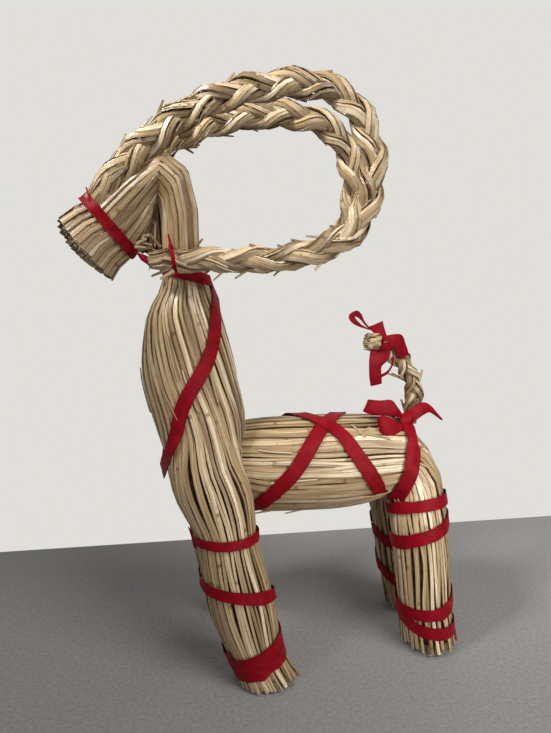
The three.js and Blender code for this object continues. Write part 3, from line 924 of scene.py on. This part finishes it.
# Loose ends at the chin, horn tips and neck tie: place x, y, z, way x, y, z and length.
for x, y, z, *way, length in (
        (-68.5, -15, 286.5, -0.62, -0.1, 0.75, 11), (-75.5, -16, 294, -0.8, -0.2, -0.1, 5),
        (-79.5, -16.5, 293.3, 0.1, -0.2, -1, 5), (-79.5, -17, 289, 0.9, -0.1, -0.2, 6),
        (-85, -16, 286.5, 1, -0.25, -0.1, 12), (-83, -17, 284, 1, -0.4, 0.15, 10),
        (-84, -16.5, 288, 0.9, -0.3, 0.45, 8), (-78, -19, 285.5, 1, -0.2, -0.25, 12),
        (-62, -33.5, 272, -1, -0.2, -0.42, 13), (-60, -34, 270.5, -1, -0.1, -0.6, 10),
        (-46.5, -22, 286, 0.55, -0.4, 0.6, 8), (-47.5, -21, 284, 0.8, -0.5, 0.35, 6)
):
    stray(straws, (x, y, z), way, length, uniform(2.0, 3.0))
finish(straws.piece("front_straws", STRAW), "straw", "head_neck_and_front_legs")
# Dark straws in painted shade fill the gap between chin and neck.
chin = Sheaf()
for _ in range(46):
    chin_straw(chin, 11.5, 3.6)
finish(chin.piece("chin_inner_straws", INNER_SHADE), "straw")
finish(lay_core("front_core", front, 4.0, (0.8, front.last - 0.25), round_the_body), "straw")

# ------ body and hind legs

straws = Sheaf()
lay_bundle(
    straws, hind, 86, 3.35, lambda at: 0.1 + 0 * at,
    tied_in(hind, (104, 0.7, 0.4), (86, 0.8, 0.25), (28, 1.0, 0.25)),
    (4.4, 7.4), lambda turn: 0.0, (6.4, 8.2, 0.76, 0.5))
fill_end(straws, hind, 0.0, 5, 2)
fill_feet(straws, hind)
loose(straws, hind, [
    (3.3, 310, 3.75, 326), (3.42, 331, 3.62, 312), (3.5, 318, 4.1, 309), (2.0, 284, 3.0, 280),
    (1.9, 262, 2.7, 266), (3.3, 60, 3.9, 48), (2.3, 100, 3.1, 106), (5.05, 300, 6.0, 318),
    (5.2, 60, 6.0, 48), (5.5, 285, 6.3, 291), (1.6, 300, 2.3, 296)
], 1.7, 0.2)
# Loose ends under the body.
for x, y, z, *way, length in (
        (-10, -13, 104.5, -1, -0.1, -0.16, 12), (4, -12, 103, -1, 0, -0.13, 14),
        (30, -11, 102.5, -1, -0.1, -0.14, 16), (16, 11, 102, 1, 0.1, -0.14, 12)
):
    stray(straws, (x, y, z), way, length, 2.0)
finish(straws.piece("body_straws", STRAW), "straw", "body_and_hind_legs")
finish(lay_core("body_core", hind, 3.0, (0.05, hind.last - 0.2)), "straw")

# ------ horns and tail

HORN_KEYS = [
    (-111.5, -10, 310), (-105, -12, 320.5), (-94, -13, 334.5), (-80, -14, 348), (-49, -16, 371.5),
    (-16.5, -18, 384.5), (20, -20, 391), (50, -22.5, 384.5), (67, -25, 361), (69, -28, 327),
    (54, -30, 296), (8, -31, 280), (-38, -28, 278), (-76, -25.5, 277),
]
RIGHT_HORN_DROP = 8
TAIL_KEYS = [
    (112, 0, 160), (113.5, 0, 176), (114, -0.5, 188), (110, -1.5, 198), (104, -3, 206.5),
    (96.5, -5, 213.5), (88, -9, 219.5), (80, -13, 222.5), (71.5, -16.5, 224),
]


def right_horn_keys():
    """The left horn's keys on the right side, a little lower on top and back up at the tip."""
    keys, last = [], len(HORN_KEYS)
    for i, (x, y, z) in enumerate(HORN_KEYS):
        drop = RIGHT_HORN_DROP * math.sin(math.pi * max(i - 2, 0) / (last - 3)) ** 2
        rise = 3.5 * smooth(i, last - 5, last - 3)
        keys.append((x + 0.5 * drop, -y, z - drop + rise))
    return keys


for name, keys in (("left_horn", HORN_KEYS), ("right_horn", right_horn_keys())):
    horn = Sheaf()
    plait_of(horn, keys, pitch=81, swing=4.7, lift=2.6, half_width=4.4, half_depth=2.6, count=9,
             width=3.5, flare=(0.55, 0.0), strays=9, slack=(46, 22), slim=(0.22, 0.62, 0.82))
    finish(horn.piece(name + "_plait", PLAIT, 20), "plaited_straw", name)

tail = Sheaf()
plait_of(tail, TAIL_KEYS, pitch=46, swing=3.4, lift=2.0, half_width=3.2, half_depth=2.0, count=6,
         width=3.4, flare=(0, 0.5), strays=3, slack=(20, 22), ends=9)
finish(tail.piece("tail_plait", PLAIT, 20), "plaited_straw", "tail")

# ------ tied ribbons

def ring_route(at, tilt=0.0):
    """Once round a bundle at a station, tilted by so many stations."""
    return lambda t: (at + tilt * np.cos(TAU * t), 360 * t)


muzzle_lift = 0.6 + 3.4 * smooth(np.cos(np.linspace(0, TAU, 73)), 0.1, 0.75)[:, None]
tie("muzzle_ribbon", [laid_ribbon(
    "muzzle_ring", front, ring_route(2.0), 73, 7.2, muzzle_lift, closed=True)] + strips(
    ("gap_thread", [
        [-72.6, -8, 317, -70.6, -8, 317], [-73.2, -9, 303, -71.4, -9, 303],
        [-72.9, -9, 293, -71.2, -9, 293], [-74, -9, 284, -72.6, -9, 283]], 16, 2, 0),
    ("thread_end", [
        [-111.4, -23, 312.6, -109.6, -23, 313.2], [-112, -22, 317.5, -110.8, -22, 317.6],
        [-113.4, -20.5, 322, -112.6, -20.5, 322.3]], 10, 1.6, 0),
    ("chin_end", [
        [-85, -15, 284, -81, -15, 278], [-80.5, -16, 282, -79, -17, 276.5],
        [-77, -15, 280.5, -76, -16, 274], [-75, -13, 277, -76.5, -13, 271.5]], 14, 6, 0.4),
))

neck_tie = [
    laid_ribbon("sash", girth, keyed([
        (8.05, 0), (9.2, 42), (10.1, 85), (10.75, 111), (11.8, 135), (12.5, 158), (12.7, 180),
        (12.5, 202), (11.8, 225), (10.75, 249), (10.1, 275), (9.2, 318), (8.05, 360)]),
        140, lift=1.0, closed=True),
    laid_ribbon("neck_ring", front, ring_route(7.84, 0.19), 73, 8.0, 1.0, closed=True)]
turns = np.linspace(0, TAU, 29)
for sign in (-1, 1):
    ring = np.stack([-60.5 - 1.3 * np.sin(turns), sign * 27.6 + 6.0 * np.cos(turns),
                     278.5 + 8.6 * np.sin(turns)], 1)
    rows = ring[:, None] + np.array([1, 0, 0]) * np.linspace(-1.3, 1.3, 3)[None, :, None]
    neck_tie.append(ribbon_grid("horn_loop", rows, 2.6, True))
    end = np.array([
        [-62.4, 32.5, 285, -60.4, 32.5, 284.6], [-62.9, 32.5, 289, -61.4, 32.5, 288.8],
        [-63.6, 32, 293, -62.6, 32, 293.2]]) * (1, sign, 1, 1, sign, 1)
    neck_tie.append(edged_ribbon("horn_loop_end", end, 8, 2.4, 0))
tie("neck_ribbon", neck_tie)

first = keyed([
    (1.38, -155), (1.53, -142), (1.72, -127), (2.0, -109), (2.21, -94), (2.37, -81), (2.63, -56),
    (2.93, -27), (3.25, 0), (3.6, 60), (4.15, 150)])
second = keyed([
    (1.95, 150), (2.25, 75), (2.6, 0), (2.9, -23), (3.19, -44.4), (3.38, -65), (3.64, -89),
    (3.89, -112), (4.02, -121)])
tie("body_ribbon", [laid_ribbon("cross_first", hind, first, 90, 10.4, 0.8),
                    laid_ribbon("cross_second", hind, second, 90, 10.2, 1.3)])


def wound(bundle, heights, right, first, begin=0):
    """A ribbon wound round a leg, with its height at each quarter turn: front edge, outer side,
    back edge, inner side and round again, from the side that begin numbers."""
    keys = curve_through([(z, 6 * k, 0) for k, z in enumerate(heights)], 400)[0]
    t = np.linspace(0, 1, len(keys))
    turn = 180 + (-1 if right else 1) * (15 * keys[:, 1] + 90 * begin)
    at = bundle.at_level(keys[:, 0], turn, right, first)
    at = np.convolve(np.pad(at, 6, mode="edge"), np.ones(13) / 13, mode="valid")
    return lambda run: (np.interp(run, t, at), np.interp(run, t, turn))


FRONT_WRAPS = [100, 98.8, 100.5, 90, 72, 66, 58.5, 42, 13, 22.5, 31, 24, 10, 15.4, 21.8, 21]
HIND_WRAPS = [105, 110.5, 111.5, 100, 82, 90.5, 98.5, 66, 33, 33.2, 43, 34, 27, 18.4, 18.8, 24]
LAST_LEG_WRAPS = [14, 22, 39, 46, 50, 58, 69, 84, 95]
FRONT_FOLDS = ((0, 0.12, 0.22, 0.42, 0.56), (0.62, 0.68, 0.78, 0.78, 1))
HIND_FOLDS = ((0, 0.1, 0.2), (0.84, 0.88, 0.96))
# Two frayed strips at the top end of each front leg's ribbon.
FRAYED_ENDS = np.array([
    [[-54.5, 36, 105, -51.5, 37.5, 101.5], [-52.5, 38, 99, -50, 39.5, 97],
     [-51, 39.5, 92, -49, 40.5, 91]],
    [[-53.5, 36.5, 104, -52.5, 37, 102], [-51.5, 39, 98, -50.5, 39.5, 96],
     [-48.5, 41, 93, -47.5, 41.5, 92]],
])
for name, bundle, heights, right, first, begin in (
        ("left_front_leg_ribbon", front, FRONT_WRAPS, False, 12.5, 0),
        ("right_front_leg_ribbon", front, FRONT_WRAPS, True, 12.5, 0),
        ("left_hind_leg_ribbon", hind, HIND_WRAPS, False, 6.2, 0),
        ("right_hind_leg_ribbon", hind, LAST_LEG_WRAPS, True, 6.5, 2)):
    route = wound(bundle, heights, right, first, begin)
    parts = [laid_ribbon(name + "_wound", bundle, route, 260, lift=0.8, right=right, split=1,
                         narrow=FRONT_FOLDS if bundle is front else HIND_FOLDS)]
    if bundle is front:
        sign, off = (1, -3.0) if right else (-1, 0)
        for end in FRAYED_ENDS * (1, sign, 1, 1, sign, 1) + (off, 0, 0, off, 0, 0):
            parts.append(edged_ribbon(name + "_end", end, 10, 3, 0.2))
    tie(name, parts)

saddle_half = [
    (6.05, 144), (5.8, 134), (5.5, 114), (5.28, 92), (5.1, 70), (4.97, 52), (4.86, 33), (4.8, 15)]
saddle_route = keyed([(at, -turn) for at, turn in saddle_half] + [(4.78, 0)] + saddle_half[::-1])
tie("rump_ribbon", [laid_ribbon("saddle", hind, saddle_route, 110, lift=1.5)] + strips(
    ("rump_wrap", [
        [99.1, -11, 168.3, 104.5, -11, 172.7], [98.6, -17, 165.1, 105.9, -17, 168.5],
        [102.3, -15, 159.6, 108.4, -15, 161.4]], 12),
    ("rump_loop_up", [
        [101, -12, 170, 101, -12, 167.5], [95.6, -15, 176.5, 91.8, -15, 169.3],
        [91.5, -15, 181.1, 83, -15, 170.2], [83.2, -14, 180.9, 76.7, -14, 170.7],
        [75.2, -12, 181.4, 71.3, -12, 172.9], [77.2, -8, 179.8, 74.6, -8, 173.1],
        [86.4, -5, 178.2, 85.2, -5, 170.9], [101.3, -8, 169.6, 101, -8, 167.6]], 40),
    ("rump_loop_low", [
        [104, -14, 161, 105.4, -14, 159], [94.7, -20, 166.2, 100.3, -20, 156.3],
        [86.5, -23, 170.4, 91.5, -24, 156.6], [80.5, -24, 171.9, 83.5, -25, 157.9],
        [78.6, -22, 168.3, 79.6, -23, 161.1], [81.4, -19, 167.5, 82.9, -20, 160],
        [91.6, -15, 165, 92.4, -17, 158.6], [103.4, -12, 160.5, 104.2, -13, 157.5]], 40),
    ("rump_end", [
        [102, -12, 169.5, 106, -13, 161], [106.3, -14, 174.3, 109.9, -15, 165.3],
        [111.6, -14, 177.8, 116, -15, 169.4], [117.5, -13, 178.4, 121.2, -13, 170.8],
        [122.9, -12, 175.4, 124.5, -12, 169.2], [128.4, -11, 169.7, 128.9, -11, 166.3],
        [133.4, -10, 164.6, 132.3, -10, 164]], 26),
))

tail_bow = strips(
    ("tail_wrap", [
        [82.7, -13, 229.7, 88.1, -13, 227.1], [83.1, -16, 224.9, 90.4, -15, 224.1],
        [82.6, -15, 218.4, 91.9, -14, 218.2]], 12),
    ("tail_loop_small", [
        [77, -12, 231, 76, -12, 231.6], [66.6, -15, 233.8, 68.5, -15, 235],
        [60.4, -16, 237, 64.9, -16, 237.9], [58.6, -15, 240.4, 63.4, -15, 240],
        [61.2, -12, 243.4, 64.2, -12, 240.8], [66.3, -10, 245, 66.1, -10, 240.5],
        [69.6, -9, 242.7, 69.4, -9, 238.2], [72, -9, 237.6, 72.1, -9, 235.1],
        [77, -10, 231.5, 76.5, -10, 231]], 36, 6, 0.2),
    ("tail_square", [
        [74.8, -10, 233.5, 85.3, -10, 237.6], [76.8, -12, 230.4, 85.6, -12, 233.5],
        [82.5, -13, 225.4, 87.5, -13, 227]], 12),
    ("tail_end_right", [
        [86, -14, 227.3, 86, -14, 221.8], [92.3, -15, 228.4, 90.5, -15, 219.1],
        [98, -14, 227.9, 93, -14, 217.7], [102.3, -12, 220.6, 95.5, -12, 212.7],
        [106.1, -9, 213.2, 99.1, -9, 209.7]], 20),
    ("tail_hanging", [
        [76, -13, 219.5, 91.5, -13, 219.4], [73.9, -16, 211.7, 88.1, -15, 210.2],
        [73.8, -16, 205.4, 83.4, -15, 205.5], [74.8, -14, 198.2, 83.9, -14, 198.6],
        [76.6, -12, 191.1, 84.9, -12, 192.8]], 20),
    ("tail_loop_thin", [
        [94.7, -9, 213.4, 92.9, -9, 214.1], [93.8, -11, 207.7, 92.3, -12, 208.4],
        [92, -12, 204, 90.8, -13, 205], [88.4, -13, 199.7, 87.4, -14, 201.6],
        [83.5, -13, 197.1, 82.7, -14, 199.3]], 20, 3, 0.1),
)
tail_path, _ = curve_through(TAIL_KEYS)
at_tie = int(0.85 * len(tail_path))
tail_way = unit(tail_path[at_tie + 1] - tail_path[at_tie - 1])
tail_up = unit(np.cross(tail_way, [0, 1, 0]))
tail_side = np.cross(tail_way, tail_up)
turns = np.linspace(0, TAU, 25)[:, None]
ring = tail_path[at_tie] + 7.0 * np.cos(turns) * tail_up + 6.0 * np.sin(turns) * tail_side
rows = ring[:, None] + tail_way * np.linspace(-3.6, 3.6, 5)[None, :, None]
tie("tail_ribbon", [ribbon_grid("tail_tie", rows, 7.2, True)] + tail_bow)

# ------ stage, light and camera

deselect()
bpy.ops.mesh.primitive_plane_add(size=2, location=(0, 0, 0))
floor = bpy.context.object
floor.name = "floor"
floor.data.transform(Matrix.Translation((0, -0.818, 0)) @ Matrix.Diagonal((1.6, 1.0, 1, 1)))
floor.data.materials.append(mottled_material("pale cloth", 420, 2, [
    (0.35, (0.25, 0.247, 0.243)), (0.65, (0.31, 0.306, 0.302))], 0.95))


def aim(obj, place, way):
    bpy.context.collection.objects.link(obj)
    obj.location = place
    obj.rotation_euler = way.to_track_quat("-Z", "Y").to_euler()


def lamp(name, place, target, size, power, colour, beam=180):
    light = bpy.data.lights.new(name, "AREA")
    light.spread = math.radians(beam)
    light.shape = "DISK"
    light.size, light.energy, light.color = size, power, colour
    lamp_object = bpy.data.objects.new(name, light)
    aim(lamp_object, place, Vector(target) - Vector(place))
    lamp_object.visible_camera = False


WARM, NEUTRAL, COOL = (1.0, 0.98, 0.95), (1.0, 0.99, 0.97), (0.95, 0.97, 1.0)
lamp("key", (0.54, -0.74, 1.05), (0.06, 0, 0.25), 0.7, 8.4, WARM)
lamp("horns", (-0.5, -0.25, 0.85), (-0.04, 0, 0.385), 0.2, 0.34, WARM, 30)
lamp("back", (0.7, 1.1, 0.8), (0, 0, 0.2), 0.8, 1.4, NEUTRAL)
lamp("near", (0.22, -0.46, 0.16), (0.12, 0, 0.13), 0.16, 0.2, WARM, 70)
lamp("fill", (-1.0, -1.1, 0.9), (0, 0, 0.2), 1.0, 1.0, COOL)

# The room behind shows as a plain pale wall, and lights the goat a little more softly.
world = bpy.data.worlds.new("studio")
world.use_nodes = True
room = world.node_tree
seen = room.nodes["Background"]
feed(room, seen, {"Color": (0.745, 0.735, 0.70, 1)})
lighting = add(room, "Background", {"Color": (0.80, 0.79, 0.78, 1), "Strength": 0.38})
rays = add(room, "LightPath", {})
choose = add(room, "MixShader", {
    "Fac": rays["Is Camera Ray"], 1: lighting["Background"], 2: seen.outputs["Background"]})
feed(room, room.nodes["World Output"], {"Surface": choose["Shader"]})
bpy.context.scene.world = world
bpy.context.scene.view_settings.view_transform = "Standard"

CAMERA_TURN, CAMERA_DIP = math.radians(9.0), math.radians(6.8)
camera_data = bpy.data.cameras.new("camera")
camera_data.sensor_width = 36
camera_data.lens = 27.503411
camera = bpy.data.objects.new("camera", camera_data)
aim(camera, (-0.0528 + SHIFT, -0.3933, 0.2526), Vector((
    math.sin(CAMERA_TURN) * math.cos(CAMERA_DIP), math.cos(CAMERA_TURN) * math.cos(CAMERA_DIP),
    -math.sin(CAMERA_DIP))))
bpy.context.scene.camera = camera
